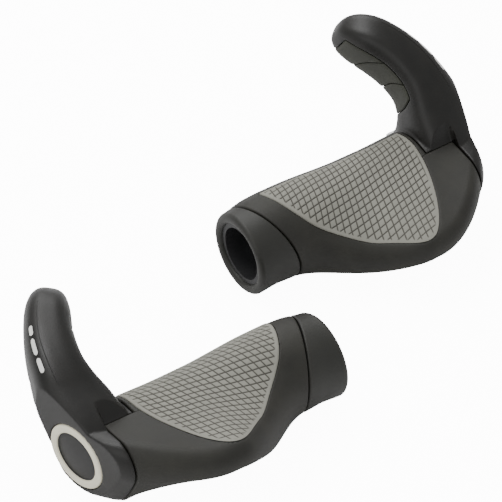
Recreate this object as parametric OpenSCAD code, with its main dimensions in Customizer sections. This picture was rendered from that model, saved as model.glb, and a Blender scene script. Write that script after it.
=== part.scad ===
// Pair of winged handlebar grips with short bar ends, left and right hand.
// Each grip lies with its bar bore along X, the wing toward -Y and the bar end
// toward +Y. One grip is described from its inboard rim (x = 0) outward and is
// mirrored for the left hand.

/* [Pair layout] */
// Distance of the right bore axis ahead of the left one, along Y
pair_gap_y = 63; // [58:1:90]
// Shift of the right inboard rim past the left one, along X
pair_shift_x = 3; // [2:0.5:20]
// Turn of the right grip about its own bore, wing down
right_turn = 10; // [0:1:12]
// Turn of the left grip about its own bore, wing up
left_turn = -10; // [-12:1:0]

/* [Grip body] */
// Bore for the handlebar, a 22.2 mm bar with room to slide
bar_bore = 22.3; // [22.2:0.05:22.6]
// Outer radius at the inboard rim
rim_r = 17.25; // [16:0.25:18.5]
// Extra radius where the collar meets the body
flare = 0.95; // [0.45:0.25:1.95]
// Length of the rubber grip from rim to outboard edge
body_len = 98; // [94:1:102]
// Distance from the bore axis to the centre of the wing edge
wing_reach = 39; // [30:1:42]
// Radius of the wing edge where it is thinnest
wing_edge_r = 6.5; // [5:0.5:9]
// Rise of the wing edge above the bore axis, in degrees
wing_rise = 14; // [8:1:22]

/* [Palm pad] */
// Thickness of the grey pad in the body
pad_depth = 1.6; // [1.2:0.1:2.4]
// How far the pad stands above the black rubber
pad_proud = 0.25; // [0.1:0.05:0.5]

/* [Bar end] */
// Where the outboard face of the barrel lies
barrel_end = 109.5; // [109:0.5:111]
// Half thickness of the horn at its middle
horn_thick = 12; // [10:0.25:13]
// Half width of the horn at its middle
horn_wide = 10.3; // [9.5:0.1:12.5]

/* [Clamp] */
// Nominal size of the clamp screw
screw_d = 5; // [4:1:5]
// Distance of the clamp screw from the bore axis
screw_out = 17.2; // [17.2:0.02:17.28]

/* [Hidden] */

$fn = 72;
eps = 0.05;
far = 80;

bore_r = bar_bore / 2;
sleeve_r = 13;
lift = 17.8;
set_back = 6.07;

collar_gap = 0.5;
collar_front = 5.6;
collar_rear = 19.5;
collar_roll = 24;
rim_lip = 1.6;
waist_drop = 0.3;
shoulder_rise = 0.6;
heel_drop = 2.4;
swell = 1.3;
swell_dir = 45;

step_x = 85;
top_step = 106;
low_step = 282;
part_gap = 0.4;
swivel_free = 26;

wing_start = 12.5;
wing_full = 64;
wing_fall = 0.53;
wing_peak = 66;

pad_x0 = 16.6;
pad_x1 = 83.4;
pad_peak = 47;
pad_edge_front = 50;
pad_span = 110;

sleeve_end = 86.2;
band_x0 = 87;
band_x1 = 97;
band_r = 14;
band_room = 0.5;
lug_turn = -10;
lug_half = 6;
lug_in = 12;
lug_out = 21;
split_half = 1.1;
screw_x = (band_x0 + band_x1) / 2;
screw_r = screw_d / 2;
head_r = 0.85 * screw_d;
head_len = 0.8 * screw_d;
hex_r = 0.46 * screw_d;
washer_r = head_r + 0.25;
washer_t = 0.9;
nut_flat = 1.6 * screw_d;
nut_t = 0.8 * screw_d - 0.5;

face_tilt = 12;
face_x = barrel_end - 3.4;
face_y = 2;
face_z = 5.5;
badge_r = 13.4;
cap_r = 14.4;
badge_in = 10.0;
plug_r = 6;
bar_stop = 101.5;

// ---------- helpers ----------

function clamp01(u) = min(1, max(0, u));
function ease(a, b, v) = let (u = clamp01((v - a) / (b - a))) u * u * (3 - 2 * u);
function late(v) = pow(clamp01((v - wing_peak) / (body_len + 1 - wing_peak)), 2);
function mix(a, b, u) = a + (b - a) * u;
function unit(v) = v / norm(v);

// Radius of the round part of the section at station x.
function tube_r(x) =
    rim_r + flare * ease(0, 20, x) - waist_drop * ease(28, 56, x)
    + shoulder_rise * ease(66, 86, x);

// Swelling toward the top and front behind the rim, less below at the heel.
function swell_at(x, a) =
    swell * ease(0, 12, x) * (1 - 0.7 * ease(26, 56, x)) * cos(a - swell_dir)
    - heel_drop * ease(72, 96, x) * pow(max(0, -sin(a + 8)), 2);

// Wing edge: distance, direction and radius at station x.
function tip_d(x) =
    wing_reach * pow(ease(wing_start, wing_full, x), 1.1) * (1 - wing_fall * late(x));
function tip_a(x) = 180 - (-8 + (wing_rise + 8) * ease(20, 66, x) + 17 * late(x));
function tip_r(x) = mix(tube_r(x), wing_edge_r, ease(10, 58, x)) + 3.5 * late(x);

// Distance from the bore axis to the skin of the grip in direction a.
function skin(x, a) =
    let (
        big = tube_r(x),
        small = tip_r(x),
        d = max(0.001, tip_d(x)),
        turn = abs((a - tip_a(x) + 540) % 360 - 180),
        lean = acos(max(-1, min(1, (big - small) / d))),
        tx = d + small * cos(lean),
        ty = small * sin(lean),
        tang = atan2(ty, tx),
        reach = d * cos(turn) + sqrt(max(0, small * small - pow(d * sin(turn), 2)))
    )
    swell_at(x, a)
    + (
        d <= abs(big - small) ? big
        : turn >= lean ? big
        : turn <= tang ? reach
        : big / cos(turn - lean)
    );

// Points closer together near the wing edge.
function spread(s) = 180 * (0.42 * s + 0.58 * s * s * s);
function ring_point(x, s, grow) =
    let (a = tip_a(x) + spread(s), r = skin(x, a) + grow)
    [x, r * cos(a), r * sin(a)];

// Faces along a tube of n rings with m points each.
function tube_sides(n, m) = [
    for (i = [0:n - 2]) for (j = [0:m - 1]) for (k = [0:1])
        let (a = i * m + j, b = i * m + (j + 1) % m, c = a + m, d = b + m)
        k == 0 ? [a, c, b] : [b, c, d]
];

// Closed tube of rings; rows is a list of rings with the same number of points.
module skin_of(rows) {
    n = len(rows);
    m = len(rows[0]);
    points = [for (row = rows) for (p = row) p];
    ends = [[for (j = [0:m - 1]) j], [for (j = [m - 1:-1:0]) (n - 1) * m + j]];
    polyhedron(points, concat(tube_sides(n, m), ends), convexity = 6);
}

// Solid between an inner and an outer grid of points.
module slab_of(outer, inner) {
    n = len(outer);
    c = len(outer[0]);
    m = 2 * c;
    points = [
        for (i = [0:n - 1]) for (j = [0:m - 1])
            j < c ? outer[i][j] : inner[i][m - 1 - j]
    ];
    first = [for (j = [0:c - 2]) for (f = [[j, j + 1, m - 2 - j], [j, m - 2 - j, m - 1 - j]]) f];
    last = [for (f = first) [for (v = [2:-1:0]) (n - 1) * m + f[v]]];
    polyhedron(points, concat(tube_sides(n, m), first, last), convexity = 6);
}

// Solid between two directions round the bore, from x0 to x1.
module sector(x0, x1, a0, a1) {
    mid = (a0 + a1) / 2;
    spots = concat([[0, 0]], [for (k = [0:6]) let (a = mix(a0, a1, k / 6)) [far * cos(a), far * sin(a)]]);
    translate([x0, 0, 0])
        multmatrix([[0, 0, 1, 0], [1, 0, 0, 0], [0, 1, 0, 0], [0, 0, 0, 1]])
            linear_extrude(x1 - x0)
                polygon(spots);
}

module rod(x0, x1, r) {
    translate([x0, 0, 0])
        rotate([0, 90, 0])
            cylinder(h = x1 - x0, r = r);
}

// ---------- rubber grip ----------

body_stations = 30;
body_points = 44;

module grip_skin(x0, x1, count) {
    skin_of([
        for (i = [0:count])
            let (x = mix(x0, x1, i / count))
            [for (j = [0:body_points - 1]) ring_point(x, 2 * j / body_points - 1, 0)]
    ]);
}

// Slanted cut between collar and body: short at the front, long at the rear.
module collar_side(offset_x) {
    slope = (collar_rear - collar_front) / (2 * (rim_r + flare));
    mid = (collar_rear + collar_front) / 2 + offset_x;
    lean = atan(slope);
    translate([mid, 0, 0])
        rotate([collar_roll, 0, 0])
            rotate([0, 0, lean])
                translate([-far, -far, -far])
                    cube([far, 2 * far, 2 * far]);
}

module grip_body() {
    color([0.10, 0.10, 0.10])
    difference() {
        grip_skin(4, body_len, body_stations);
        collar_side(collar_gap / 2);
        rod(-1, body_len + 1, sleeve_r + 0.02);
        rod(sleeve_end, body_len + 1, band_r + band_room);
        sector(step_x, body_len + 1, low_step - 360, top_step);
        pad_slab(0.12, -0.08);
    }
}

module end_collar() {
    color([0.14, 0.14, 0.14])
    intersection() {
        difference() {
            union() {
                grip_skin(rim_lip, 30, 14);
                translate([rim_lip, 0, 0])
                    rotate([0, 90, 0])
                        rotate_extrude()
                            difference() {
                                translate([0, -rim_lip / 2])
                                    square([rim_r - rim_lip / 3, rim_lip]);
                                translate([-1, -rim_lip])
                                    square([1, 3 * rim_lip]);
                            }
            }
            rod(-1, far, sleeve_r + 0.02);
        }
        collar_side(-collar_gap / 2);
    }
}

// ---------- grey palm pad ----------

pad_rows = 22;
pad_cols = 16;

function pad_fill(x) =
    x < pad_peak
    ? pow(max(0, 1 - pow((pad_peak - x) / (pad_peak - pad_x0 + 0.2), 2)), 0.62)
    : pow(max(0, 1 - pow((x - pad_peak) / (pad_x1 - pad_peak + 0.2), 4.5)), 0.32);

function pad_point(x, v, grow, side) =
    let (
        low = pad_edge_front - side / 20 * 57.3,
        high = pad_edge_front + pad_span * pad_fill(x) + side / skin(x, 150) * 57.3,
        a = mix(low, high, v),
        r = skin(x, a) + grow
    )
    [x, r * cos(a), r * sin(a)];

module pad_slab(side, sink) {
    function row(i, grow) =
        let (
            u = (1 - cos(180 * i / pad_rows)) / 2,
            x = mix(pad_x0 - side, pad_x1 + side, u),
            xs = max(pad_x0, min(pad_x1, x)),
            shift = x - xs
        )
        [for (j = [0:pad_cols]) pad_point(xs, j / pad_cols, grow, side) + [shift, 0, 0]];
    top = sink < 0 ? 4 : pad_proud;
    slab_of(
        [for (i = [0:pad_rows]) row(i, top)],
        [for (i = [0:pad_rows]) row(i, sink - pad_depth)]
    );
}

module palm_pad() {
    color([0.62, 0.62, 0.58])
        pad_slab(0, 0);
}

// ---------- inner sleeve ----------

module core_sleeve() {
    color([0.16, 0.16, 0.17])
    difference() {
        rod(rim_lip, sleeve_end, sleeve_r);
        rod(-1, far * 2, bore_r);
        // expansion notch at the inboard mouth
        translate([rim_lip - eps, -1.1, 0])
            cube([5, 2.2, far]);
    }
}

// ---------- bar end ----------

horn_rows = 22;
horn_points = 28;
horn_p0 = [96.5, 2.5, 3];
horn_p1 = [100, 7.5, 19.4];
horn_p2 = [107, 23.8, 31.7];
horn_p3 = [81.5, 57.1, 35.3];
horn_end = [-0.72, 0.8, 0.41];
horn_twist = -3.6;
horn_square = 3;
tip_start = 0.835;

function bez(t) =
    pow(1 - t, 3) * horn_p0 + 3 * pow(1 - t, 2) * t * horn_p1
    + 3 * (1 - t) * t * t * horn_p2 + t * t * t * horn_p3;
function bez_dir(t) =
    unit(3 * pow(1 - t, 2) * (horn_p1 - horn_p0) + 6 * (1 - t) * t * (horn_p2 - horn_p1)
    + 3 * t * t * (horn_p3 - horn_p2));

function horn_dir(t) = unit(mix(bez_dir(t), horn_end, ease(0.6, 1, t)));

function horn_a(t) = mix(13, horn_wide, ease(0.3, 0.62, t)) - 1.5 * ease(0.5, 0.95, t);
function horn_b(t) = mix(20, horn_thick, ease(0, 0.46, t)) + 0.3 * ease(0.5, 0.95, t);
function tip_round(t) =
    t < tip_start ? 1
    : pow(max(0, 1 - pow((t - tip_start) / (1 - tip_start), 2.6)), 0.37);

// Point on the horn: t along it, a round it, k scales the section.
function horn_point(t, a, k) =
    let (
        dir = horn_dir(t),
        down = unit(cross(dir, [1, 0, 0])),
        side = cross(down, dir),
        roll = horn_twist * ease(0.2, 0.7, t),
        thick = cos(roll) * down + sin(roll) * side,
        wide = cos(roll) * side - sin(roll) * down,
        c = cos(a),
        s = sin(a),
        sq = pow(pow(abs(c), horn_square) + pow(abs(s), horn_square), -1 / horn_square),
        f = k * tip_round(t)
    )
    bez(t) + (horn_a(t) * f * sq * c) * wide + (horn_b(t) * f * sq * s) * thick;

module horn_skin() {
    skin_of([
        for (i = [0:horn_rows])
            let (u = i / horn_rows, t = 0.9995 * (1 - pow(1 - u, 1.7)))
            [for (j = [0:horn_points - 1]) horn_point(t, 360 * j / horn_points, 1)]
    ]);
}

inlay_rows = 6;
inlay_cols = 16;
inlay_a0 = 22;
inlay_a1 = 206;
inlay_cuts = [0.42, 0.70, 0.88, 0.965];
inlay_leans = [0.08, -0.1, -0.1, 0];
inlay_slit = 0.004;

// Stations along a panel, each with its place on the horn and its slant.
function inlay_stations(k, slit) = [
    for (i = [0:inlay_rows])
        let (f = i / inlay_rows)
        [
            mix(inlay_cuts[k] + slit, inlay_cuts[k + 1] - slit, f),
            mix(inlay_leans[k], inlay_leans[k + 1], f)
        ]
];

// Layer on the finger side of the horn, its ends slanting toward the side edges.
module inlay_slab(stations, a0, a1, k0, k1) {
    function row(station, k) =
        [
            for (j = [0:inlay_cols])
                let (v = j / inlay_cols)
                horn_point(station[0] + station[1] * pow(abs(2 * v - 1), 3), mix(a0, a1, v), k)
        ];
    slab_of(
        [for (station = stations) row(station, k1)],
        [for (station = stations) row(station, k0)]
    );
}

module inlay_panel(k) {
    color([0.30, 0.32, 0.28])
        inlay_slab(inlay_stations(k, inlay_slit), inlay_a0, inlay_a1, 0.86, 1.02);
}

barrel_rows = 10;
barrel_points = 48;

// The barrel carries on the outline of the grip and rounds off to the badge.
function barrel_late(x) = ease(body_len - 2, barrel_end, x);
function barrel_cap(x) =
    let (u = clamp01((x - body_len) / (barrel_end - body_len)))
    pow(1 - pow(u, 1.4), 0.95);
function barrel_rad(x, a) =
    x < body_len + part_gap
    ? skin(x, a) - 0.2
    : mix(cap_r, skin(body_len, a), barrel_cap(x));

module barrel_shape() {
    stations = concat(
        [step_x + part_gap, body_len],
        [
            for (i = [0:barrel_rows])
                mix(body_len + part_gap + 0.05, barrel_end, 1 - pow(1 - i / barrel_rows, 1.7))
        ]
    );
    skin_of([
        for (x = stations)
            [
                for (j = [0:barrel_points - 1])
                    let (
                        a = tip_a(body_len) + spread(2 * j / barrel_points - 1),
                        r = barrel_rad(x, a),
                        k = barrel_late(x)
                    )
                    [x, face_y * k + r * cos(a), face_z * k + r * sin(a)]
            ]
    ]);
}

module tilted_face() {
    translate([face_x, face_y, face_z])
        rotate([0, 0, -face_tilt])
            children();
}

module bar_end_body() {
    color([0.07, 0.07, 0.08])
    difference() {
        union() {
            barrel_shape();
            horn_skin();
        }
        // room for the rear part of the grip body
        sector(step_x - 1, body_len + part_gap, top_step - 1, low_step + swivel_free);
        rod(step_x - 30, step_x + part_gap, 30);
        rod(step_x - 1, band_x1 + part_gap, band_r + 0.03);
        rod(step_x - 1, bar_stop, bore_r + 0.3);
        // pocket for the lugs of the band
        on_lug()
            translate([step_x - 1, lug_in - 2, -lug_half - 0.3])
                cube([band_x1 + part_gap + 1 - step_x, lug_out + 2.3 - lug_in, 2 * lug_half + 0.6]);
        // way in for the screw
        on_lug()
            translate([screw_x, screw_out, -lug_half + 1])
                rotate([180, 0, 0])
                    cylinder(h = 30, r = washer_r + 0.35);
        // recess for plug and ring
        tilted_face() {
            rod(1.5, 30, 30);
            rod(-0.4, 3, badge_r + 0.15);
            rod(-3.4, 1, plug_r + 0.1);
        }
        inlay_slab(
            [
                for (k = [0:2]) for (i = [0:inlay_rows - (k < 2 ? 1 : 0)])
                    inlay_stations(k, 0)[i]
            ],
            inlay_a0 - 1.5, inlay_a1 + 1.5, 0.85, 1.2
        );
    }
}

// ---------- clamp ----------

// Turns the clamp so that its lugs sit under the root of the horn.
module on_lug() {
    rotate([lug_turn, 0, 0])
        children();
}

module clamp_band() {
    color([0.75, 0.76, 0.78])
    on_lug()
        difference() {
            union() {
                rod(band_x0, band_x1, band_r);
                translate([band_x0, lug_in, -lug_half])
                    cube([band_x1 - band_x0, lug_out - lug_in, 2 * lug_half]);
            }
            rod(-1, far * 2, bore_r);
            translate([band_x0 - 1, 5, -split_half])
                cube([band_x1 - band_x0 + 2, far, 2 * split_half]);
            translate([screw_x, screw_out, -far / 2])
                cylinder(h = far, r = screw_r + 0.25);
            // seat of the nut
            translate([screw_x - nut_flat / 2 - 0.1, screw_out - nut_flat / 2 - 0.1, lug_half - nut_t - 0.1])
                cube([nut_flat + 0.2, nut_flat + 0.2, nut_t + 1]);
        }
}

module clamp_screw() {
    color([0.55, 0.56, 0.58])
    on_lug()
        translate([screw_x, screw_out, -lug_half])
            difference() {
                union() {
                    translate([0, 0, -washer_t - 1])
                        cylinder(h = 2 * lug_half + washer_t + 0.8, r = screw_r);
                    translate([0, 0, -washer_t - 0.05 - head_len])
                        cylinder(h = head_len, r = head_r);
                }
                translate([0, 0, -washer_t - head_len - 1])
                    cylinder(h = 1 + head_len * 0.6, r = hex_r, $fn = 6);
            }
}

module screw_washer() {
    color([0.70, 0.71, 0.73])
    on_lug()
        translate([screw_x, screw_out, -lug_half - washer_t - 0.02])
            difference() {
                cylinder(h = washer_t, r = washer_r);
                translate([0, 0, -1])
                    cylinder(h = 3, r = screw_r + 0.2);
            }
}

module clamp_nut() {
    color([0.60, 0.61, 0.63])
    on_lug()
        difference() {
            translate([screw_x - nut_flat / 2, screw_out - nut_flat / 2, lug_half - nut_t])
                cube([nut_flat, nut_flat, nut_t]);
            translate([screw_x, screw_out, 0])
                cylinder(h = far, r = screw_r + 0.03);
        }
}

// ---------- end plug and ring ----------

module end_plug() {
    color([0.05, 0.05, 0.05])
    tilted_face() {
        rod(-0.4, 1.2, badge_in - 0.1);
        rod(-0.35, 0.3, badge_r - 0.4);
        rod(-3, 0, plug_r);
    }
}

module badge_ring() {
    color([0.88, 0.87, 0.82])
    tilted_face()
        difference() {
            rod(0.35, 1.8, badge_r);
            rod(-1, 4, badge_in);
        }
}

// ---------- placing ----------

module on_left() {
    translate([-pair_shift_x / 2, -pair_gap_y / 2 - set_back, lift])
        mirror([1, 0, 0])
            rotate([left_turn, 0, 0])
                children();
}

module on_right() {
    translate([pair_shift_x / 2, pair_gap_y / 2 - set_back, lift])
        rotate([right_turn, 0, 0])
            children();
}

module left_core_sleeve() { on_left() core_sleeve(); }
module left_grip_body() { on_left() grip_body(); }
module left_end_collar() { on_left() end_collar(); }
module left_palm_pad() { on_left() palm_pad(); }
module left_bar_end_body() { on_left() bar_end_body(); }
module left_finger_inlay_root() { on_left() inlay_panel(0); }
module left_finger_inlay_mid() { on_left() inlay_panel(1); }
module left_finger_inlay_tip() { on_left() inlay_panel(2); }
module left_clamp_band() { on_left() clamp_band(); }
module left_clamp_screw() { on_left() clamp_screw(); }
module left_screw_washer() { on_left() screw_washer(); }
module left_clamp_nut() { on_left() clamp_nut(); }
module left_end_plug() { on_left() end_plug(); }
module left_badge_ring() { on_left() badge_ring(); }
module right_core_sleeve() { on_right() core_sleeve(); }
module right_grip_body() { on_right() grip_body(); }
module right_end_collar() { on_right() end_collar(); }
module right_palm_pad() { on_right() palm_pad(); }
module right_bar_end_body() { on_right() bar_end_body(); }
module right_finger_inlay_root() { on_right() inlay_panel(0); }
module right_finger_inlay_mid() { on_right() inlay_panel(1); }
module right_finger_inlay_tip() { on_right() inlay_panel(2); }
module right_clamp_band() { on_right() clamp_band(); }
module right_clamp_screw() { on_right() clamp_screw(); }
module right_screw_washer() { on_right() screw_washer(); }
module right_clamp_nut() { on_right() clamp_nut(); }
module right_end_plug() { on_right() end_plug(); }
module right_badge_ring() { on_right() badge_ring(); }

left_core_sleeve();
left_grip_body();
left_end_collar();
left_palm_pad();
left_bar_end_body();
left_finger_inlay_root();
left_finger_inlay_mid();
left_finger_inlay_tip();
left_clamp_band();
left_clamp_screw();
left_screw_washer();
left_clamp_nut();
left_end_plug();
left_badge_ring();
right_core_sleeve();
right_grip_body();
right_end_collar();
right_palm_pad();
right_bar_end_body();
right_finger_inlay_root();
right_finger_inlay_mid();
right_finger_inlay_tip();
right_clamp_band();
right_clamp_screw();
right_screw_washer();
right_clamp_nut();
right_end_plug();
right_badge_ring();
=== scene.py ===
"""Looks of a left and a right winged bicycle grip with clamped bar ends.

Every piece of one grip is built once, in a local frame in millimetres: x runs outward along
the bore from the inboard rim, y is forward and z is up. It is then placed for each hand.
"""
import math

import bmesh
import bpy
import numpy as np
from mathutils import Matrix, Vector


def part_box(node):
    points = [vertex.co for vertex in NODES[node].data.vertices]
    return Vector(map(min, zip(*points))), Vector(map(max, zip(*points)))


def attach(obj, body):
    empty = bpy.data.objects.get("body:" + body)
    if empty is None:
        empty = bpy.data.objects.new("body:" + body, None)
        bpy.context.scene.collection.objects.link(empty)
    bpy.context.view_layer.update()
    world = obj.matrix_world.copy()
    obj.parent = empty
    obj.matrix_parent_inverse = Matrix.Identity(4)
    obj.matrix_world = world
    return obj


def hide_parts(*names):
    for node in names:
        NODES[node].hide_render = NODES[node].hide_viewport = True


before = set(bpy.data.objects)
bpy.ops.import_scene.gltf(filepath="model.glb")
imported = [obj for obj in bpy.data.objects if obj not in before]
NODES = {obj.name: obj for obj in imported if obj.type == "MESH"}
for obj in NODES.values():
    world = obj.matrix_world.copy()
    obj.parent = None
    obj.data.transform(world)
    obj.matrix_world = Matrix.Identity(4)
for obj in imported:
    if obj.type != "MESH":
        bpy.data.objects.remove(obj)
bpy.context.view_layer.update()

MM = 0.001
SIDES = {"left": -1, "right": 1}
TURN = {"left": -10.0, "right": 10.0}

# ---------- dimensions of one grip, in millimetres ----------

RIM_LIP = 1.6
RIM_R = 17.25
BODY_LEN = 98.0
SLEEVE_R = 13.0
BORE_R = 11.15
STEP_X = 85.0
TOP_STEP = 106.0
LOW_STEP = 282.0
SWIVEL_FREE = 26.0
PART_GAP = 0.4
BAND_R = 14.0
BAND_X1 = 97.0
BAR_STOP = 101.5
COLLAR_GAP = 0.5
COLLAR_FRONT, COLLAR_REAR, COLLAR_ROLL = 5.6, 19.5, 24.0
COLLAR_SLOPE = (COLLAR_REAR - COLLAR_FRONT) / (2 * (RIM_R + 0.95))
PAD_X0, PAD_X1, PAD_PEAK = 16.6, 83.4, 47.0
PAD_FRONT, PAD_SPAN = 50.0, 110.0
PAD_PROUD, PAD_DEPTH = 0.25, 1.6
BARREL_END = 109.5
CAP_R = 14.4
FACE_X, FACE_Y, FACE_Z, FACE_TILT = BARREL_END - 3.4, 2.0, 5.5, 12.0
BADGE_R, BADGE_IN, PLUG_R = 13.4, 10.0, 6.0
SCREW_X, SCREW_OUT, LUG_TURN, LUG_HALF = 92.0, 17.2, -10.0, 6.0
LUG_IN, LUG_OUT, WASHER_R = 12.0, 21.0, 4.5
HORN = np.array([[96.5, 2.5, 3.0], [100.0, 7.5, 19.4], [107.0, 23.8, 31.7], [81.5, 57.1, 35.3]])
HORN_END = np.array([-0.72, 0.8, 0.41])
HORN_TWIST = -3.6
HORN_WIDE, HORN_THICK = 10.3, 12.0
HORN_SQUARE = 3.0
TIP_START = 0.835
SETTLE_RISE = 0.75
DASH_TURN, CREASE_TURN = -51.0, -66.0
FAR = 40.0
INLAY_A = (22.0, 206.0)
INLAY_CUTS = (0.42, 0.70, 0.88, 0.965)
INLAY_LEANS = (0.08, -0.1, -0.1, 0.0)
INLAY_SLIT = 0.0035


# ---------- shape of the grip ----------

def clamp01(u):
    return np.clip(u, 0.0, 1.0)


def ease(a, b, v):
    u = clamp01((v - a) / (b - a))
    return u * u * (3 - 2 * u)


def mix(a, b, u):
    return a + (b - a) * u


def cosd(a):
    return np.cos(np.radians(a))


def sind(a):
    return np.sin(np.radians(a))


def late(x):
    return clamp01((x - 66) / (BODY_LEN + 1 - 66)) ** 2


def tube_r(x):
    return RIM_R + 0.95 * ease(0, 20, x) - 0.3 * ease(28, 56, x) + 0.6 * ease(66, 86, x)


def tip_a(x):
    return 180 - (-8 + 22 * ease(20, 66, x) + 17 * late(x))


def skin(x, a):
    """Distance from the bore axis to the outside of the grip at station x, in direction a."""
    x, a = np.broadcast_arrays(np.asarray(x, float), np.asarray(a, float))
    big = tube_r(x)
    small = mix(big, 6.5, ease(10, 58, x)) + 3.5 * late(x)
    d = np.maximum(0.001, 39 * ease(12.5, 64, x) ** 1.1 * (1 - 0.53 * late(x)))
    turn = np.abs((a - tip_a(x) + 540) % 360 - 180)
    lean = np.degrees(np.arccos(np.clip((big - small) / d, -1, 1)))
    tang = np.degrees(np.arctan2(small * sind(lean), d + small * cosd(lean)))
    reach = d * cosd(turn) + np.sqrt(np.maximum(0, small**2 - (d * sind(turn)) ** 2))
    flat = big / np.maximum(cosd(turn - lean), 0.05)
    wing = np.where(turn >= lean, big, np.where(turn <= tang, reach, flat))
    swell = 1.3 * ease(0, 12, x) * (1 - 0.7 * ease(26, 56, x)) * cosd(a - 45)
    heel = 2.4 * ease(72, 96, x) * np.maximum(0, -sind(a + 8)) ** 2
    return swell - heel + np.where(d <= np.abs(big - small), big, wing)


def ring_xyz(x, a, r):
    x, a, r = np.broadcast_arrays(x, a, r)
    return np.stack([x, r * cosd(a), r * sind(a)], -1)


def collar_cut(a, offset):
    """Station of the slanted cut between collar and body in direction a."""
    x = np.full_like(a, (COLLAR_FRONT + COLLAR_REAR) / 2 + offset)
    mid = x.copy()
    for _ in range(6):
        x = mid - COLLAR_SLOPE * skin(x, a) * cosd(a - COLLAR_ROLL)
    return x


# ---------- shape of the pad ----------

def pad_high(x):
    """Direction of the pad's curved edge at station x."""
    rise = np.maximum(0, 1 - np.abs((PAD_PEAK - x) / (PAD_PEAK - PAD_X0 + 0.2)) ** 2) ** 0.62
    fall = np.maximum(0, 1 - np.abs((x - PAD_PEAK) / (PAD_X1 - PAD_PEAK + 0.2)) ** 4.5) ** 0.32
    return PAD_FRONT + PAD_SPAN * np.where(x < PAD_PEAK, rise, fall)


ARC_A = np.linspace(PAD_FRONT - 20, PAD_FRONT + PAD_SPAN + 30, 321)
ARC_X = np.linspace(PAD_X0 - 8, PAD_X1 + 8, 180)


def arc_table():
    """Distance along the skin from the pad's front edge, for each ARC_X and ARC_A."""
    x, a = np.meshgrid(ARC_X, ARC_A, indexing="ij")
    r = skin(x, a)
    y, z = r * cosd(a), r * sind(a)
    step = np.hypot(np.diff(y, axis=1), np.diff(z, axis=1))
    run = np.concatenate([np.zeros((len(ARC_X), 1)), np.cumsum(step, axis=1)], axis=1)
    start = np.array([np.interp(PAD_FRONT, ARC_A, row) for row in run])
    return run - start[:, None]


ARC = arc_table()


def arc(x, a):
    """Distance along the skin from the pad's front edge to direction a."""
    fx = np.clip((x - ARC_X[0]) / (ARC_X[1] - ARC_X[0]), 0, len(ARC_X) - 1.001)
    fa = np.clip((a - ARC_A[0]) / (ARC_A[1] - ARC_A[0]), 0, len(ARC_A) - 1.001)
    i, j = fx.astype(int), fa.astype(int)
    u, v = fx - i, fa - j
    low = mix(ARC[i, j], ARC[i, j + 1], v)
    high = mix(ARC[i + 1, j], ARC[i + 1, j + 1], v)
    return mix(low, high, u)


def pad_outline():
    """Points (x, arc) round the pad's edge."""
    u = (1 - np.cos(np.linspace(0, math.pi, 400))) / 2
    x = mix(PAD_X0, PAD_X1, u)
    top = np.stack([x, arc(x, pad_high(x))], -1)
    low = np.stack([x, np.zeros_like(x)], -1)
    ends = []
    for x_end in (PAD_X0, PAD_X1):
        t = np.linspace(0, 1, 60)
        xs = np.full_like(t, x_end)
        ends.append(np.stack([xs, arc(xs, mix(PAD_FRONT, pad_high(xs), t))], -1))
    return np.concatenate([top, low] + ends)


OUTLINE = pad_outline()


def pad_distance(x, a):
    """Distance to the pad's edge along the skin, negative inside the pad."""
    x, a = np.broadcast_arrays(x, a)
    spot = np.stack([x.ravel(), arc(x, a).ravel()], -1)
    near = np.full(len(spot), 99.0)
    for start in range(0, len(OUTLINE), 40):
        part = OUTLINE[start:start + 40]
        gap = np.hypot(spot[:, None, 0] - part[None, :, 0], spot[:, None, 1] - part[None, :, 1])
        near = np.minimum(near, gap.min(1))
    inside = (x > PAD_X0) & (x < PAD_X1) & (a > PAD_FRONT) & (a < pad_high(x))
    return np.where(inside.ravel(), -near, near).reshape(x.shape)


# ---------- shape of the horn ----------

def horn_point(t, a, k):
    """Point on the horn: t along it, a round it, k scales the section."""
    t, a, k = np.broadcast_arrays(np.asarray(t, float), np.asarray(a, float), np.asarray(k, float))
    b0, b1, b2, b3 = HORN
    s, u = (1 - t)[..., None], t[..., None]
    spot = s**3 * b0 + 3 * s**2 * u * b1 + 3 * s * u**2 * b2 + u**3 * b3
    way = 3 * s**2 * (b1 - b0) + 6 * s * u * (b2 - b1) + 3 * u**2 * (b3 - b2)
    way = way / np.linalg.norm(way, axis=-1, keepdims=True)
    way = mix(way, HORN_END, ease(0.6, 1, u))
    way = way / np.linalg.norm(way, axis=-1, keepdims=True)
    down = np.cross(way, [1.0, 0, 0])
    down = down / np.linalg.norm(down, axis=-1, keepdims=True)
    side = np.cross(down, way)
    roll = HORN_TWIST * ease(0.2, 0.7, u)
    thick = cosd(roll) * down + sind(roll) * side
    wide = cosd(roll) * side - sind(roll) * down
    c, n = cosd(a), sind(a)
    square = (np.abs(c) ** HORN_SQUARE + np.abs(n) ** HORN_SQUARE) ** (-1 / HORN_SQUARE)
    tip = np.maximum(0, 1 - np.maximum(0, (t - TIP_START) / (1 - TIP_START)) ** 2.6) ** 0.37
    half_w = mix(13, HORN_WIDE, ease(0.3, 0.62, t)) - 1.5 * ease(0.5, 0.95, t)
    half_t = mix(20, HORN_THICK, ease(0, 0.46, t)) + 0.3 * ease(0.5, 0.95, t)
    f = k * tip * square
    return spot + (half_w * f * c)[..., None] * wide + (half_t * f * n)[..., None] * thick


# ---------- meshes ----------

class Shape:
    """Vertices, faces and optional map coordinates of one closed piece, in the local frame."""

    def __init__(self, points, faces, uv=None):
        self.points, self.faces, self.uv = points, faces, uv


def quads(n, m, wrap_n, wrap_m):
    """Faces of a grid of n rows and m columns, closed along either way."""
    rows, columns = np.arange(n if wrap_n else n - 1), np.arange(m if wrap_m else m - 1)
    i, j = np.meshgrid(rows, columns, indexing="ij")
    i2, j2 = (i + 1) % n, (j + 1) % m
    return np.stack([i * m + j, i2 * m + j, i2 * m + j2, i * m + j2], -1).reshape(-1, 4)


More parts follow.
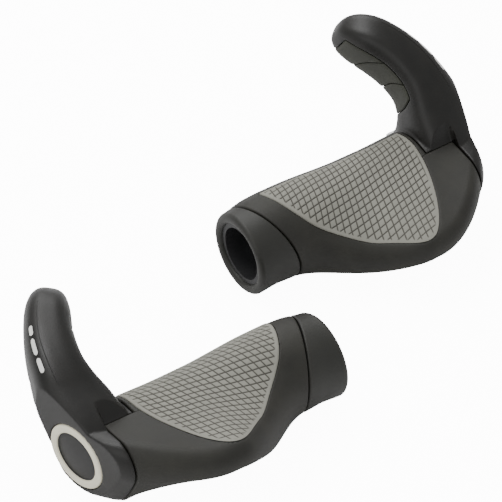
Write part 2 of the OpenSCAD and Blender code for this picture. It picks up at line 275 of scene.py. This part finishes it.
def torus(rows):
    """Ring-shaped solid from a grid of points that closes both ways."""
    n, m, _ = rows.shape
    return Shape(rows.reshape(-1, 3), quads(n, m, True, True).tolist())


def tube(rows):
    """Solid from a stack of rings, closed by a face at each end."""
    n, m, _ = rows.shape
    faces = quads(n, m, False, True).tolist()
    faces += [list(range(m)), list(range((n - 1) * m, n * m))[::-1]]
    return Shape(rows.reshape(-1, 3), faces)


def slab(outer, inner, uv=None):
    """Closed layer between two grids of points of the same size."""
    n, c, _ = outer.shape
    m = 2 * c
    rows = np.concatenate([outer, inner[:, ::-1]], axis=1)
    faces = quads(n, m, False, True).tolist()
    for base in (0, (n - 1) * m):
        faces += [[base + j, base + j + 1, base + m - 2 - j, base + m - 1 - j] for j in range(c - 1)]
    if uv is not None:
        uv = np.concatenate([uv, uv[:, ::-1]], axis=1).reshape(-1, 2)
    return Shape(rows.reshape(-1, 3), faces, uv)


def lathe_rows(profile, count=96):
    """Rings about x, one for each (x, r) point."""
    profile = np.array(profile, float)
    a = np.arange(count) * 360.0 / count
    return ring_xyz(profile[:, :1], a[None, :], profile[:, 1:])


def rod(x0, x1, r, count=96):
    return tube(lathe_rows([(x0, r), (x1, r)], count))


def box(low, high):
    (x0, y0, z0), (x1, y1, z1) = low, high
    ring = [[y0, z0], [y1, z0], [y1, z1], [y0, z1]]
    return tube(np.array([[[x, y, z] for y, z in ring] for x in (x0, x1)], float))


def turned(shape, axis, angle, shift=(0, 0, 0)):
    """The shape turned about x, y or z by angle degrees, then shifted."""
    i, j = {"x": (1, 2), "y": (2, 0), "z": (0, 1)}[axis]
    p = shape.points.copy()
    p[:, i] = shape.points[:, i] * cosd(angle) - shape.points[:, j] * sind(angle)
    p[:, j] = shape.points[:, i] * sind(angle) + shape.points[:, j] * cosd(angle)
    return Shape(p + np.array(shift, float), shape.faces, shape.uv)


def mesh_of(name, shape, place=None):
    points = shape.points if place is None else place(shape.points)
    mesh = bpy.data.meshes.new(name)
    mesh.from_pydata(points.tolist(), [], shape.faces)
    if shape.uv is not None:
        layer = mesh.uv_layers.new(name="pattern")
        corner = np.zeros(len(mesh.loops), np.int32)
        mesh.loops.foreach_get("vertex_index", corner)
        layer.data.foreach_set("uv", shape.uv[corner].astype(np.float32).ravel())
    mesh.validate()
    work = bpy.data.objects.new(name, mesh)
    bpy.context.scene.collection.objects.link(work)
    outward(work)
    return work


def outward(obj):
    """Turns the faces of a closed mesh outward."""
    bm = bmesh.new()
    bm.from_mesh(obj.data)
    bmesh.ops.recalc_face_normals(bm, faces=bm.faces)
    bm.to_mesh(obj.data)
    bm.free()


def apply_all(obj):
    """Replaces the mesh by the result of its modifiers."""
    graph = bpy.context.evaluated_depsgraph_get()
    done = bpy.data.meshes.new_from_object(obj.evaluated_get(graph))
    obj.modifiers.clear()
    obj.data = done


def shape_from(obj):
    """Takes an object's mesh back as a Shape and removes the object."""
    mesh = obj.data
    points = np.zeros(len(mesh.vertices) * 3)
    mesh.vertices.foreach_get("co", points)
    faces = [list(p.vertices) for p in mesh.polygons]
    bpy.data.objects.remove(obj)
    return Shape(points.reshape(-1, 3), faces)


def moulded(name, solids, cutters, voxel, rounds):
    """Joins solids, cuts them and rounds all edges a little, as a moulding is."""
    base = mesh_of(name, solids[0])
    helpers = []
    for kind, shapes in (("UNION", solids[1:]), ("DIFFERENCE", cutters)):
        for k, shape in enumerate(shapes):
            helper = mesh_of(f"{name}_{kind}_{k}", shape)
            helpers.append(helper)
            cut = base.modifiers.new(kind, "BOOLEAN")
            cut.operation = kind
            cut.solver = "MANIFOLD"
            cut.object = helper
    apply_all(base)
    for helper in helpers:
        bpy.data.objects.remove(helper)
    remesh = base.modifiers.new("remesh", "REMESH")
    remesh.mode = "VOXEL"
    remesh.voxel_size = voxel
    smooth = base.modifiers.new("smooth", "SMOOTH")
    smooth.factor = 0.5
    smooth.iterations = rounds
    apply_all(base)
    return shape_from(base)


# ---------- pieces of one grip ----------

ROLL = np.linspace(0, 90, 6)


def body_shape():
    front = np.linspace(LOW_STEP - 360, TOP_STEP - 0.6, 170)
    wing = np.linspace(TOP_STEP, LOW_STEP, 300)
    a = np.concatenate([front, wing])
    ends = np.concatenate([np.full(len(front), STEP_X), np.full(len(wing), BODY_LEN)])
    start = collar_cut(a, COLLAR_GAP / 2)
    edge = 0.7
    rows = []
    for angle in ROLL:
        x = start + edge * (1 - sind(angle))
        rows.append(ring_xyz(x, a, skin(x, a) - edge * (1 - cosd(angle))))
    rows = rows[::-1]
    count = 230
    for u in np.linspace(0, 1, count)[1:-1]:
        x = mix(start + edge, ends - edge, u)
        d = pad_distance(x, a)
        sink = 1.1 * (1 - ease(-0.25, 0.3, d))
        rows.append(ring_xyz(x, a, skin(x, a) - sink))
    for angle in ROLL:
        x = ends - edge * (1 - sind(angle))
        rows.append(ring_xyz(x, a, skin(x, a) - edge * (1 - cosd(angle))))
    inner_end = np.where(ends > STEP_X, BAND_R + 0.6, SLEEVE_R + 0.03)
    rows.append(ring_xyz(ends, a, inner_end))
    rows.append(ring_xyz(start, a, SLEEVE_R + 0.03))
    return torus(np.stack(rows))


def collar_shape():
    a = np.linspace(0, 360, 361)[:-1]
    end = collar_cut(a, -COLLAR_GAP / 2)
    lip = [
        (5, 13.03), (1.5, 13.05), (0.9, 13.25), (0.35, 13.75), (0.05, 14.4),
        (0, 15.1), (0.12, 15.8), (0.45, 16.45), (1.0, 16.95),
    ]
    rows = [ring_xyz(x, a, r) for x, r in lip]
    edge = 0.7
    for u in np.linspace(0, 1, 60):
        x = mix(RIM_LIP + 0.1, end - edge, u)
        rows.append(ring_xyz(x, a, skin(x, a)))
    for angle in ROLL[1:]:
        x = end - edge * (1 - sind(angle))
        rows.append(ring_xyz(x, a, skin(x, a) - edge * (1 - cosd(angle))))
    rows.append(ring_xyz(end, a, SLEEVE_R + 0.03))
    return torus(np.stack(rows))


PITCH_A = np.array([0.375, 0.09])
PITCH_B = np.array([0.07, 0.36])
FIELD_IN, FIELD_FULL = 1.3, 1.9
UV_PER_MM = 0.01


def groove(x, s):
    """Depth share of the crossing grooves of the pad, from 0 to 1."""
    deep = np.zeros_like(x)
    for pitch in (PITCH_A, PITCH_B):
        phase = x * pitch[0] + s * pitch[1]
        gap = np.abs(phase - np.round(phase)) / np.hypot(*pitch)
        deep = np.maximum(deep, 1 - ease(0.1, 0.42, gap))
    return deep


def pad_shape():
    nx, na = 330, 300
    u = (1 - np.cos(np.linspace(0.02, math.pi - 0.02, nx))) / 2
    u = mix(u, np.linspace(0, 1, nx), 0.75)
    x = mix(PAD_X0 + 0.12, PAD_X1 - 0.12, u)[:, None]
    v = np.linspace(0, 1, na)[None, :]
    inset = 0.12 / 20 * 57.3
    a = mix(PAD_FRONT + inset, np.maximum(pad_high(x) - inset, PAD_FRONT + 2 * inset), v)
    x = np.broadcast_to(x, a.shape)
    d = -pad_distance(x, a)
    s = arc(x, a)
    border = 1 - np.sqrt(1 - (1 - clamp01(d / 0.8)) ** 2)
    depth = 0.32 * groove(x, s) * ease(FIELD_IN, FIELD_FULL, d)
    r = skin(x, a) + PAD_PROUD - 0.75 * border - depth
    outer = ring_xyz(x, a, r)
    inner = ring_xyz(x, a, skin(x, a) - PAD_DEPTH + 0.1)
    uv = np.stack([x, s], -1) * UV_PER_MM
    return slab(outer, inner, uv)


def bar_end_shape():
    t = 0.9995 * (1 - (1 - np.linspace(0, 1, 110)) ** 1.7)
    a = np.arange(96) * 3.75
    horn = tube(horn_point(t[:, None], a[None, :], 1.0))
    stations = [STEP_X + PART_GAP] + list(np.linspace(STEP_X + 3, BODY_LEN, 8))
    stations += list(mix(BODY_LEN + 0.45, BARREL_END, 1 - (1 - np.linspace(0, 1, 26)) ** 1.7))
    a = np.arange(180) * 2.0
    rows = []
    for x in stations:
        own = skin(min(x, BODY_LEN), a)
        if x < BODY_LEN + PART_GAP:
            rows.append(ring_xyz(x, a, own - 0.2))
        else:
            cap = (1 - clamp01((x - BODY_LEN) / (BARREL_END - BODY_LEN)) ** 1.4) ** 0.95
            k = ease(BODY_LEN - 2, BARREL_END, x)
            rows.append(ring_xyz(x, a, mix(CAP_R, own, cap)) + np.array([0, FACE_Y * k, FACE_Z * k]))
    barrel = tube(np.stack(rows))
    shape = moulded("bar_end", [barrel, horn], bar_end_cutters(), 0.42, 5)
    settle(shape)
    return shape


def settle(shape):
    """Draws the root of the horn down to the grip's outline along the edge of the step."""
    x, y, z = shape.points.T
    r, a = np.hypot(y, z), np.degrees(np.arctan2(z, y))
    a = np.where(a < LOW_STEP - 360, a + 360, a)
    own = skin(np.minimum(x, BODY_LEN), a)
    away = np.maximum(0, np.radians(TOP_STEP - a) * own)
    beside = (x > STEP_X) & (a < TOP_STEP + 6)
    allowed = own - 0.1 + SETTLE_RISE * away**1.4 + FAR * ease(BODY_LEN - 1, BODY_LEN + 7, x)
    proud = beside & (r > allowed)
    pull = np.where(proud, allowed / np.maximum(r, 1), 1)
    shape.points[:, 1] *= pull
    shape.points[:, 2] *= pull


def on_face(shape):
    return turned(shape, "z", -FACE_TILT, (FACE_X, FACE_Y, FACE_Z))


def bar_end_cutters():
    a = np.radians(np.linspace(TOP_STEP - 1, LOW_STEP + SWIVEL_FREE, 13))
    fan = np.concatenate([[[0, 0]], 80 * np.stack([np.cos(a), np.sin(a)], -1)])
    ends = [np.column_stack([np.full(len(fan), x), fan]) for x in (STEP_X - 1, BODY_LEN + PART_GAP)]
    lugs = box((STEP_X - 1, LUG_IN - 2, -LUG_HALF - 0.3), (BAND_X1 + PART_GAP, LUG_OUT + 0.3, LUG_HALF + 0.3))
    way_in = turned(rod(-30, -5, WASHER_R + 0.35, 48), "y", -90, (SCREW_X, SCREW_OUT, 0))
    inlay_t, inlay_lean = inlay_stations(0, 2, 0.0, 18)
    return [
        tube(np.stack(ends)),
        rod(STEP_X - 30, STEP_X + PART_GAP, 30),
        rod(STEP_X - 1, BAND_X1 + PART_GAP, BAND_R + 0.03),
        rod(STEP_X - 1, BAR_STOP, BORE_R + 0.3),
        turned(lugs, "x", LUG_TURN),
        turned(way_in, "x", LUG_TURN),
        on_face(rod(1.5, 30, 30)),
        on_face(rod(-0.4, 3, BADGE_R + 0.2)),
        on_face(rod(-3.4, 1, PLUG_R + 0.1)),
        inlay_layer(inlay_t, inlay_lean, INLAY_A[0] - 1.2, INLAY_A[1] + 1.2, 0.86, 1.2, 0.0),
    ]


def inlay_stations(first, last, slit, rows):
    """Places along the horn and slants, from panel first to panel last."""
    t, lean = [], []
    for k in range(first, last + 1):
        f = np.linspace(0, 1, rows)[(1 if k > first else 0):]
        t.append(mix(INLAY_CUTS[k] + slit, INLAY_CUTS[k + 1] - slit, f))
        lean.append(mix(INLAY_LEANS[k], INLAY_LEANS[k + 1], f))
    return np.concatenate(t), np.concatenate(lean)


def inlay_layer(t, lean, a0, a1, k0, k1, soften):
    """Layer on the finger side of the horn; soften lowers its outer border."""
    v = np.linspace(0, 1, 70)
    place = t[:, None] + lean[:, None] * np.abs(2 * v - 1)[None, :] ** 3
    a = np.broadcast_to(mix(a0, a1, v)[None, :], place.shape)
    along = np.minimum(np.arange(len(t)), len(t) - 1 - np.arange(len(t)))[:, None]
    across = np.minimum(np.arange(70), 69 - np.arange(70))[None, :]
    edge = 1 - clamp01(np.minimum(along, across) / 2.0)
    outer = horn_point(place, a, k1 - soften * edge**2)
    return slab(outer, horn_point(place, a, k0))


def inlay_shape(k):
    t, lean = inlay_stations(k, k, INLAY_SLIT, 26)
    return inlay_layer(t, lean, INLAY_A[0] + 0.6, INLAY_A[1] - 0.6, 0.87, 1.012, 0.03)


def ring_shape():
    return on_face(torus(lathe_rows([
        (0.36, BADGE_IN), (1.35, BADGE_IN), (1.7, BADGE_IN + 0.3), (1.8, BADGE_IN + 0.8),
        (1.8, BADGE_R - 0.9), (1.68, BADGE_R - 0.4), (1.3, BADGE_R - 0.05), (0.36, BADGE_R),
    ])))


def plug_shape():
    dome = [(1.35 - 0.4 * (r / 9.2) ** 2, r) for r in np.linspace(0.4, 9.0, 10)]
    lip = [(0.85, 9.3), (0.95, 9.55), (1.15, 9.7), (1.15, 9.85), (0.9, 9.9), (0.3, 9.95)]
    shank = [(-3, 0.4), (-3, 5.6), (-2.6, PLUG_R), (-0.35, PLUG_R), (-0.3, 9.95)]
    return on_face(tube(lathe_rows(shank + lip[::-1] + dome[::-1])))


def crease_shape():
    """Thin moulding line along the outboard shoulder of the horn."""
    t = np.linspace(0.46, 0.88, 60)
    centre = horn_point(t, np.full_like(t, CREASE_TURN), 0.998)
    way = np.gradient(centre, axis=0)
    way /= np.linalg.norm(way, axis=1, keepdims=True)
    out = horn_point(t, np.full_like(t, CREASE_TURN), 1.1) - centre
    out -= (out * way).sum(1, keepdims=True) * way
    out /= np.linalg.norm(out, axis=1, keepdims=True)
    side = np.cross(way, out)
    a = np.arange(10) * 36.0
    rad = 0.2 * np.sin(np.linspace(0.15, math.pi - 0.15, len(t))) ** 0.5
    ring = cosd(a)[None, :, None] * out[:, None] + sind(a)[None, :, None] * side[:, None]
    return tube(centre[:, None] + rad[:, None, None] * ring)


def stripe_shape(t0, t1):
    """Plain pale dash on the outboard face of the horn."""
    t = np.linspace(t0, t1, 24)[:, None]
    f = np.linspace(-1, 1, 24)[:, None]
    v = np.linspace(-1, 1, 9)[None, :]
    half = 4.2 * np.sqrt(np.maximum(0.02, 1 - f**6))
    a = DASH_TURN + v * half
    return slab(horn_point(t, a, 1.006 - 0.004 * v**4), horn_point(t, a, 0.985))


# ---------- materials ----------

def new_material(name):
    material = bpy.data.materials.new(name)
    material.use_nodes = True
    tree = material.node_tree
    return material, tree, tree.nodes["Principled BSDF"]


def speckled(name, color, rough, spread=0.12, grain=2600.0, bump=0.12, cloud=90.0, shine=0.35):
    """Moulded surface: soft clouding in its tone and a fine grain in its relief."""
    material, tree, shader = new_material(name)
    add, link = tree.nodes.new, tree.links.new
    place = add("ShaderNodeTexCoord")
    clouds = add("ShaderNodeTexNoise")
    clouds.inputs["Scale"].default_value = cloud
    clouds.inputs["Detail"].default_value = 5
    ramp = add("ShaderNodeValToRGB")
    low = [c * (1 - spread) for c in color] + [1]
    high = [min(1, c * (1 + spread)) for c in color] + [1]
    ramp.color_ramp.elements[0].color = low
    ramp.color_ramp.elements[1].color = high
    ramp.color_ramp.elements[0].position = 0.35
    ramp.color_ramp.elements[1].position = 0.68
    link(place.outputs["Object"], clouds.inputs["Vector"])
    link(clouds.outputs["Fac"], ramp.inputs["Fac"])
    link(ramp.outputs["Color"], shader.inputs["Base Color"])
    wear = add("ShaderNodeMapRange")
    wear.inputs["To Min"].default_value = max(0.05, rough - 0.07)
    wear.inputs["To Max"].default_value = min(1, rough + 0.07)
    link(clouds.outputs["Fac"], wear.inputs["Value"])
    link(wear.outputs["Result"], shader.inputs["Roughness"])
    fine = add("ShaderNodeTexNoise")
    fine.inputs["Scale"].default_value = grain
    fine.inputs["Detail"].default_value = 3
    relief = add("ShaderNodeBump")
    relief.inputs["Strength"].default_value = bump
    relief.inputs["Distance"].default_value = 0.0002
    link(place.outputs["Object"], fine.inputs["Vector"])
    link(fine.outputs["Fac"], relief.inputs["Height"])
    link(relief.outputs["Normal"], shader.inputs["Normal"])
    shader.inputs["Specular IOR Level"].default_value = shine
    return material


def pad_material(name, color, groove_shade, rough):
    """Grey rubber whose crossing grooves carry painted shade, darker than its faces."""
    material = speckled(name, color, rough, spread=0.05, grain=3200.0, bump=0.15, cloud=60.0)
    tree = material.node_tree
    shader = tree.nodes["Principled BSDF"]
    add, link = tree.nodes.new, tree.links.new
    chart = add("ShaderNodeUVMap")
    chart.uv_map = "pattern"
    depth = None
    for pitch in (PITCH_A, PITCH_B):
        phase = add("ShaderNodeVectorMath")
        phase.operation = "DOT_PRODUCT"
        phase.inputs[1].default_value = (pitch[0] / UV_PER_MM, pitch[1] / UV_PER_MM, 0)
        link(chart.outputs["UV"], phase.inputs[0])
        saw = add("ShaderNodeMath")
        saw.operation = "PINGPONG"
        saw.inputs[1].default_value = 0.5
        link(phase.outputs["Value"], saw.inputs[0])
        line = add("ShaderNodeMapRange")
        line.interpolation_type = "SMOOTHSTEP"
        width = float(np.hypot(*pitch))
        line.inputs["From Min"].default_value = 0.12 * width
        line.inputs["From Max"].default_value = 0.36 * width
        line.inputs["To Min"].default_value = 1.0
        line.inputs["To Max"].default_value = 0.0
        link(saw.outputs["Value"], line.inputs["Value"])
        if depth is None:
            depth = line
        else:
            both = add("ShaderNodeMath")
            both.operation = "MAXIMUM"
            link(depth.outputs["Result"], both.inputs[0])
            link(line.outputs["Result"], both.inputs[1])
            depth = both
    edge = add("ShaderNodeAttribute")
    edge.attribute_name = "field"
    inside = add("ShaderNodeMath")
    inside.operation = "MULTIPLY"
    link(depth.outputs["Value"], inside.inputs[0])
    link(edge.outputs["Fac"], inside.inputs[1])
    # painted shade: the grooves' colour is mixed toward a dark tone that stands in for the shade falling in
    # them
    paint = add("ShaderNodeMix")
    paint.data_type = "RGBA"
    old = shader.inputs["Base Color"].links[0].from_socket
    link(inside.outputs["Value"], paint.inputs["Factor"])
    link(old, paint.inputs["A"])
    paint.inputs["B"].default_value = (*groove_shade, 1)
    link(paint.outputs["Result"], shader.inputs["Base Color"])
    return material


def brushed(name, color, rough):
    """Plated or machined metal with fine streaks along x."""
    material, tree, shader = new_material(name)
    add, link = tree.nodes.new, tree.links.new
    place = add("ShaderNodeTexCoord")
    stretch = add("ShaderNodeMapping")
    stretch.inputs["Scale"].default_value = (60, 2400, 2400)
    noise = add("ShaderNodeTexNoise")
    noise.inputs["Scale"].default_value = 1.0
    link(place.outputs["Object"], stretch.inputs["Vector"])
    link(stretch.outputs["Vector"], noise.inputs["Vector"])
    wear = add("ShaderNodeMapRange")
    wear.inputs["To Min"].default_value = rough - 0.08
    wear.inputs["To Max"].default_value = rough + 0.1
    link(noise.outputs["Fac"], wear.inputs["Value"])
    link(wear.outputs["Result"], shader.inputs["Roughness"])
    relief = add("ShaderNodeBump")
    relief.inputs["Strength"].default_value = 0.08
    relief.inputs["Distance"].default_value = 0.0001
    link(noise.outputs["Fac"], relief.inputs["Height"])
    link(relief.outputs["Normal"], shader.inputs["Normal"])
    shader.inputs["Base Color"].default_value = (*color, 1)
    shader.inputs["Metallic"].default_value = 1.0
    return material


BODY = speckled("grip_rubber", (0.0165, 0.016, 0.0125), 0.6, spread=0.22)
COLLAR = speckled("collar_rubber", (0.019, 0.019, 0.016), 0.52, spread=0.1, grain=3600.0, bump=0.06)
# the second colour is painted shade for the pad's grooves
PAD = pad_material("pad_rubber", (0.225, 0.222, 0.192), (0.06, 0.058, 0.048), 0.75)
HORN_BLACK = speckled("horn_composite", (0.005, 0.0045, 0.0035), 0.42, spread=0.25, grain=2200.0, cloud=140.0)
INLAY = speckled("inlay_rubber", (0.03, 0.031, 0.023), 0.62, spread=0.15, grain=3000.0, bump=0.12)
RING = speckled("ring_plastic", (0.78, 0.74, 0.58), 0.45, spread=0.04, bump=0.03, cloud=200.0)
PLUG = speckled("plug_plastic", (0.005, 0.0045, 0.004), 0.45, spread=0.2, bump=0.05)
SLEEVE = speckled("sleeve_nylon", (0.02, 0.02, 0.021), 0.5, spread=0.2, bump=0.1)
MARK = speckled("pale_print", (0.72, 0.72, 0.69), 0.5, spread=0.04, bump=0.03)
STEEL = brushed("screw_steel", (0.55, 0.55, 0.56), 0.32)
ALLOY = brushed("band_aluminium", (0.72, 0.73, 0.74), 0.36)


# ---------- placing for each hand ----------

def placer(hand):
    """Function that takes local millimetres to the part's frame in metres."""
    low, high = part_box(hand + "_core_sleeve")
    sign = SIDES[hand]
    rim = (low.x if sign > 0 else high.x) - sign * RIM_LIP * MM
    origin = np.array([rim, (low.y + high.y) / 2, (low.z + high.z) / 2])
    c, s = cosd(TURN[hand]), sind(TURN[hand])

    def place(p):
        y = p[:, 1] * c - p[:, 2] * s
        z = p[:, 1] * s + p[:, 2] * c
        return origin + MM * np.stack([sign * p[:, 0], y, z], -1)

    return place


def add_piece(hand, name, shape, material, body, nodes=(), field=None):
    piece = mesh_of(f"{hand}_{name}", shape, placer(hand))
    mesh = piece.data
    mesh.materials.append(material)
    mesh.polygons.foreach_set("use_smooth", np.ones(len(mesh.polygons), bool))
    mesh.set_sharp_from_angle(angle=math.radians(50))
    if field is not None:
        mark = mesh.attributes.new("field", "FLOAT", "POINT")
        mark.data.foreach_set("value", field.astype(np.float32))
    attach(piece, body)
    if nodes:
        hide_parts(*[f"{hand}_{n}" for n in nodes])
    return piece


def pad_field(shape):
    """1 where the pad's surface carries grooves and their painted shade, 0 in its plain border."""
    x = shape.uv[:, 0] / UV_PER_MM
    a = np.degrees(np.arctan2(shape.points[:, 2], shape.points[:, 1]))
    return ease(FIELD_IN, FIELD_FULL, -pad_distance(x, a))


def build():
    body, collar, pad = body_shape(), collar_shape(), pad_shape()
    bar_end = bar_end_shape()
    panels = {"root": inlay_shape(0), "mid": inlay_shape(1), "tip": inlay_shape(2)}
    field = pad_field(pad)
    dashes = [stripe_shape(t0, t1) for t0, t1 in ((0.54, 0.61), (0.625, 0.7), (0.715, 0.76))]
    for hand in SIDES:
        held = hand + "_bar_end"
        add_piece(hand, "grip_rubber", body, BODY, "grips", ["grip_body"])
        add_piece(hand, "collar_rubber", collar, COLLAR, "grips", ["end_collar"])
        add_piece(hand, "crossed_pad", pad, PAD, "grips", ["palm_pad"], field)
        add_piece(hand, "horn_moulding", bar_end, HORN_BLACK, held, ["bar_end_body"])
        for name, shape in panels.items():
            replaced = ["finger_inlay_" + name]
            add_piece(hand, "finger_panel_" + name, shape, INLAY, held, replaced)
        add_piece(hand, "pale_ring", ring_shape(), RING, held, ["badge_ring"])
        add_piece(hand, "domed_plug", plug_shape(), PLUG, held, ["end_plug"])
        add_piece(hand, "mould_line", crease_shape(), HORN_BLACK, held)
        for k, dash in enumerate(dashes):
            add_piece(hand, f"pale_dash_{k}", dash, MARK, held)
        for node, material in (("core_sleeve", SLEEVE), ("clamp_band", ALLOY), ("clamp_screw", STEEL),
                               ("screw_washer", STEEL), ("clamp_nut", STEEL)):
            mesh = NODES[f"{hand}_{node}"].data
            mesh.materials.clear()
            mesh.materials.append(material)


# ---------- stage ----------

AZIMUTH, ELEVATION, DISTANCE = -34.0, 43.0, 1.05
VIEW_WIDTH = 0.1931
SENSOR = 36.0
AIM = np.array([-1.4, 17.8, 14.46]) * MM
FLOOR_GLOW = 12.0


def bore_middle():
    """Point midway between the two inboard rims, on the bores' height."""
    spots = [placer(hand)(np.zeros((1, 3)))[0] for hand in SIDES]
    return (spots[0] + spots[1]) / 2


def add_camera():
    aim = Vector(bore_middle() + AIM)
    a, e = math.radians(AZIMUTH), math.radians(ELEVATION)
    away = Vector((math.sin(a) * math.cos(e), -math.cos(a) * math.cos(e), math.sin(e)))
    data = bpy.data.cameras.new("camera")
    data.sensor_width = SENSOR
    data.lens = SENSOR * DISTANCE / VIEW_WIDTH
    data.clip_start, data.clip_end = 0.01, 20
    camera = bpy.data.objects.new("camera", data)
    camera.location = aim + away * DISTANCE
    camera.rotation_euler = away.to_track_quat("Z", "Y").to_euler()
    bpy.context.scene.collection.objects.link(camera)
    bpy.context.scene.camera = camera


def area_light(name, spot, size, power):
    data = bpy.data.lights.new(name, "AREA")
    data.shape = "DISK"
    data.size = size
    data.energy = power
    lamp = bpy.data.objects.new(name, data)
    lamp.location = spot
    lamp.rotation_euler = Vector(spot).to_track_quat("Z", "Y").to_euler()
    bpy.context.scene.collection.objects.link(lamp)


def lit_floor():
    """White floor that looks lit from within to the camera but throws no light on the grips."""
    material = speckled("floor_white", (0.92, 0.92, 0.92), 0.9, spread=0.005, bump=0.0)
    tree = material.node_tree
    add, link = tree.nodes.new, tree.links.new
    ray = add("ShaderNodeLightPath")
    glow = add("ShaderNodeEmission")
    glow.inputs["Color"].default_value = (1, 1, 1, 1)
    power = add("ShaderNodeMath")
    power.operation = "MULTIPLY"
    power.inputs[1].default_value = FLOOR_GLOW
    both = add("ShaderNodeAddShader")
    link(ray.outputs["Is Camera Ray"], power.inputs[0])
    link(power.outputs["Value"], glow.inputs["Strength"])
    link(tree.nodes["Principled BSDF"].outputs["BSDF"], both.inputs[0])
    link(glow.outputs["Emission"], both.inputs[1])
    link(both.outputs["Shader"], tree.nodes["Material Output"].inputs["Surface"])
    return material


def add_stage():
    mesh = bpy.data.meshes.new("floor")
    half = 6.0
    corners = [(-half, -half, 0), (half, -half, 0), (half, half, 0), (-half, half, 0)]
    mesh.from_pydata(corners, [], [(0, 1, 2, 3)])
    floor = bpy.data.objects.new("floor", mesh)
    bpy.context.scene.collection.objects.link(floor)
    floor.location.z = -0.0004
    mesh.materials.append(lit_floor())
    world = bpy.data.worlds.new("studio")
    world.use_nodes = True
    world.node_tree.nodes["Background"].inputs["Color"].default_value = (1, 1, 1, 1)
    world.node_tree.nodes["Background"].inputs["Strength"].default_value = 0.8
    bpy.context.scene.world = world
    area_light("key", (-0.2, 0.5, 1.2), 0.7, 10)
    area_light("back", (0.35, 0.9, 0.8), 0.8, 6)
    area_light("fill", (-0.9, -0.3, 0.7), 0.8, 2.5)
    

add_camera()
build()
add_stage()
